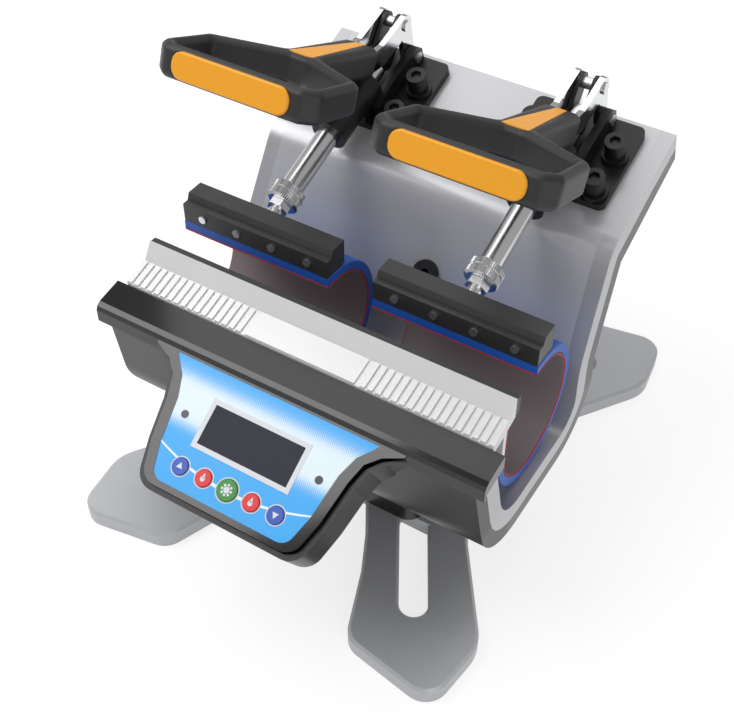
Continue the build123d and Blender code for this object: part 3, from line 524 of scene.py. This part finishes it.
# scale of the nut's outline and height along its axis, with a groove round the middle
NUT_ROWS = ((0.86, -0.0065), (1.0, -0.0052), (1.0, -0.0010), (0.95, -0.0006),
            (0.95, 0.0006), (1.0, 0.0010), (1.0, 0.0052), (0.86, 0.0065))


class MUGPRESS_OT_nuts(Operator):
    """Makes the knurled adjusting nuts"""
    bl_idname = "mugpress.nuts"
    bl_label = "Adjusting nuts"

    def execute(self, context):
        for side in SIDES:
            low, high = (Vector(corner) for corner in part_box(f"{side}_adjusting_nut"))
            turn = Matrix.Rotation(DECK_SLOPE, 4, "X") @ Matrix.Rotation(math.radians(-90), 4, "X")
            place = Matrix.Translation((low + high) / 2) @ turn
            bm = bmesh.new()
            ring = bmesh.ops.create_circle(bm, cap_ends=False, segments=NUT_FLUTES * 2,
                                           radius=NUT_RADIUS)["verts"]
            for vert in ring[1::2]:
                vert.co *= FLUTE_DEPTH
            edges = start_edges = list(bm.edges)
            scale_now, height_now = NUT_ROWS[0]
            bmesh.ops.scale(bm, vec=(scale_now, scale_now, 1.0), verts=ring)
            bmesh.ops.translate(bm, vec=(0, 0, height_now), verts=ring)
            for scale, height in NUT_ROWS[1:]:
                verts, edges = extruded_loop(bm, edges)
                bmesh.ops.scale(bm, vec=(scale / scale_now, scale / scale_now, 1.0), verts=verts)
                bmesh.ops.translate(bm, vec=(0, 0, height - height_now), verts=verts)
                scale_now, height_now = scale, height
            for loop in (start_edges, edges):
                for vert in extruded_loop(bm, loop)[0]:
                    vert.co.xy = vert.co.xy.normalized() * NUT_BORE
            bmesh.ops.transform(bm, matrix=place, verts=bm.verts)
            piece = make_piece(f"{side}_knurled_nut", bm, [finish("Ground rod")])
            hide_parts(f"{side}_adjusting_nut")
            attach(piece, f"{side}_nut")
        return {"FINISHED"}


def panel_matrix():
    up = -DOWN_PANEL
    normal = Vector((1, 0, 0)).cross(up)
    return Matrix(((1, up.x, normal.x, PANEL_TOP.x), (0, up.y, normal.y, PANEL_TOP.y),
                   (0, up.z, normal.z, PANEL_TOP.z), (0, 0, 0, 1)))


def raised(bm, verts, height, lift):
    """Thickens a flat face made of verts and lifts it to its place over the panel."""
    face = next(iter({face for vert in verts for face in vert.link_faces}))
    tops = verts_of(bmesh.ops.extrude_face_region(bm, geom=[face]))
    bmesh.ops.translate(bm, verts=tops, vec=(0, 0, height))
    every = list(set(verts) | set(tops))
    bmesh.ops.translate(bm, verts=every, vec=(0, 0, lift))
    return every


ICON_LIFT = 0.00088
ICON_HEIGHT = 0.00012
RING_INSIDE = 0.0003
RING_OUTSIDE = 0.0011


def icon_shape(bm, sides, radius, x, y, turn=0.0, stretch=(1.0, 1.0)):
    made = bmesh.ops.create_circle(bm, cap_ends=True, segments=sides, radius=radius)["verts"]
    bmesh.ops.rotate(bm, verts=made, cent=(0, 0, 0), matrix=Matrix.Rotation(math.radians(turn), 3, "Z"))
    bmesh.ops.scale(bm, vec=(stretch[0], stretch[1], 1.0), verts=made)
    made = raised(bm, made, ICON_HEIGHT, ICON_LIFT)
    bmesh.ops.translate(bm, verts=made, vec=(x, y, 0))


class MUGPRESS_OT_keys(Operator):
    """Prints plain white symbols on the five keys and a white ring round each"""
    bl_idname = "mugpress.keys"
    bl_label = "Key symbols"

    def execute(self, context):
        place = panel_matrix()
        white = finish("White frame")
        for number in range(1, 6):
            low, high = (Vector(corner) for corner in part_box(f"key_{number}"))
            centre = place.inverted() @ ((low + high) / 2)
            radius = (high.x - low.x) / 2
            bm = bmesh.new()
            if number in (1, 5):
                turn = 0.0 if number == 1 else 180.0
                icon_shape(bm, 3, radius * 0.46, centre.x, centre.y, turn)
            elif number in (2, 4):
                icon_shape(bm, 24, radius * 0.30, centre.x, centre.y - radius * 0.12)
                icon_shape(bm, 3, radius * 0.30, centre.x, centre.y + radius * 0.20, 0.0, (0.95, 1.35))
            else:
                icon_shape(bm, 24, radius * 0.30, centre.x, centre.y)
                for tooth in range(8):
                    angle = tooth * math.tau / 8
                    icon_shape(bm, 4, radius * 0.15, centre.x + math.cos(angle) * radius * 0.46,
                               centre.y + math.sin(angle) * radius * 0.46, math.degrees(angle) + 45)
            bmesh.ops.transform(bm, matrix=place, verts=bm.verts)
            symbol = make_piece(f"key_{number}_symbol", bm, [white])
            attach(symbol, f"key_{number}_body")

            bm = bmesh.new()
            bmesh.ops.create_circle(bm, cap_ends=False, segments=64, radius=radius + RING_OUTSIDE)
            inner = extruded_loop(bm, list(bm.edges))[0]
            factor = (radius + RING_INSIDE) / (radius + RING_OUTSIDE)
            bmesh.ops.scale(bm, vec=(factor, factor, 1.0), verts=inner)
            bmesh.ops.solidify(bm, geom=list(bm.faces), thickness=0.0001)
            bmesh.ops.translate(bm, verts=bm.verts, vec=(centre.x, centre.y, -0.00022))
            bmesh.ops.transform(bm, matrix=place, verts=bm.verts)
            ring = make_piece(f"key_{number}_ring", bm, [white])
            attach(ring, "frame")
        return {"FINISHED"}


def aim(thing, target):
    direction = Vector(target) - thing.location
    thing.rotation_euler = direction.to_track_quat("-Z", "Y").to_euler()


def soft_light(name, place, target, size, power):
    light = bpy.data.lights.new(name, "AREA")
    light.shape = "RECTANGLE"
    light.size, light.size_y = size
    light.energy = power
    lamp = bpy.data.objects.new(name, light)
    lamp.location = place
    bpy.context.scene.collection.objects.link(lamp)
    aim(lamp, target)


FLOOR_WHITE = 0.62


def white_where_seen(tree, surface, output):
    """Camera and glossy rays see plain white away from the object's shadow."""
    path = tree.nodes.new("ShaderNodeLightPath")
    seen = calc(tree, "MAXIMUM", path.outputs["Is Camera Ray"], path.outputs["Is Glossy Ray"])
    white = put(tree, "ShaderNodeEmission", {"Color": (1, 1, 1, 1), "Strength": FLOOR_WHITE})
    glow = put(tree, "ShaderNodeEmission", {"Color": (1, 1, 1, 1),
                                            "Strength": calc(tree, "MULTIPLY", seen, 1.0 - FLOOR_WHITE)})
    blend = tree.nodes.new("ShaderNodeMixShader")
    added = tree.nodes.new("ShaderNodeAddShader")
    tree.links.new(calc(tree, "MULTIPLY", seen, FLOOR_WHITE), blend.inputs[0])
    tree.links.new(surface, blend.inputs[1])
    tree.links.new(white.outputs[0], blend.inputs[2])
    tree.links.new(blend.outputs[0], added.inputs[0])
    tree.links.new(glow.outputs[0], added.inputs[1])
    tree.links.new(added.outputs[0], output.inputs["Surface"])


class MUGPRESS_OT_studio(Operator):
    """Sets the pale floor, the soft lights and the camera"""
    bl_idname = "mugpress.studio"
    bl_label = "Studio"

    def execute(self, context):
        scene = context.scene
        studio = scene.mugpress_studio
        scene.view_settings.view_transform = "Standard"

        bm = bmesh.new()
        bmesh.ops.create_grid(bm, x_segments=2, y_segments=2, size=6.0)
        floor = make_piece("studio_floor", bm, [])
        material, tree, shader, _ = new_material("Pale floor")
        shader.inputs["Base Color"].default_value = (0.86, 0.86, 0.87, 1.0)
        shader.inputs["Roughness"].default_value = 0.9
        white_where_seen(tree, shader.outputs[0], tree.nodes["Material Output"])
        floor.data.materials.append(material)

        world = bpy.data.worlds.new("Studio air")
        world.use_nodes = True
        background = world.node_tree.nodes["Background"].inputs
        background["Color"].default_value = (1.0, 1.0, 1.0, 1.0)
        path = world.node_tree.nodes.new("ShaderNodeLightPath")
        strength = put(world.node_tree, "ShaderNodeMapRange", {"Value": path.outputs["Is Camera Ray"],
                                                               "To Min": 0.42, "To Max": 1.0})
        world.node_tree.links.new(strength.outputs[0], background["Strength"])
        scene.world = world

        target = (0.0, -0.03, 0.15)
        soft_light("key_light", (-0.9, -0.55, 1.6), target, (1.2, 1.0), studio.key_power)
        soft_light("fill_light", (1.5, -1.0, 0.9), target, (1.0, 1.2), studio.fill_power)
        soft_light("back_light", (-0.5, 0.95, 1.9), target, (1.8, 1.2), studio.back_power)

        camera = bpy.data.cameras.new("photo_view")
        camera.lens = 58.6
        camera.sensor_width = 36.0
        camera.sensor_fit = "HORIZONTAL"
        camera.clip_start = 0.01
        camera_object = bpy.data.objects.new("photo_view", camera)
        camera_object.location = (0.311, -0.532, 0.696)
        camera_object.rotation_euler = (math.radians(44.8), 0.0, math.radians(31.9))
        scene.collection.objects.link(camera_object)
        scene.camera = camera_object
        return {"FINISHED"}


STEPS = ("finishes", "mats", "handles", "nuts", "keys", "studio")


class MUGPRESS_PT_panel(Panel):
    """Lists the steps that dress the press"""
    bl_idname = "MUGPRESS_PT_panel"
    bl_label = "Mug Press"
    bl_space_type = "VIEW_3D"
    bl_region_type = "UI"
    bl_category = "Mug Press"

    def draw(self, context):
        layout = self.layout
        scene = context.scene
        for group in (scene.mugpress_mats, scene.mugpress_colours, scene.mugpress_studio):
            box = layout.box()
            for name in group.bl_rna.properties.keys():
                if name not in ("name", "rna_type"):
                    box.prop(group, name)
        for step in STEPS:
            layout.operator(f"mugpress.{step}")


CLASSES = (MatSettings, ColourSettings, StudioSettings, MUGPRESS_OT_finishes, MUGPRESS_OT_mats,
           MUGPRESS_OT_handles, MUGPRESS_OT_nuts, MUGPRESS_OT_keys, MUGPRESS_OT_studio, MUGPRESS_PT_panel)


def register():
    for item in CLASSES:
        bpy.utils.register_class(item)
    bpy.types.Scene.mugpress_mats = PointerProperty(type=MatSettings)
    bpy.types.Scene.mugpress_colours = PointerProperty(type=ColourSettings)
    bpy.types.Scene.mugpress_studio = PointerProperty(type=StudioSettings)


def unregister():
    del bpy.types.Scene.mugpress_studio
    del bpy.types.Scene.mugpress_colours
    del bpy.types.Scene.mugpress_mats
    for item in reversed(CLASSES):
        bpy.utils.unregister_class(item)


def main():
    register()
    for step in STEPS:
        getattr(bpy.ops.mugpress, step)()


if __name__ == "__main__":
    main()
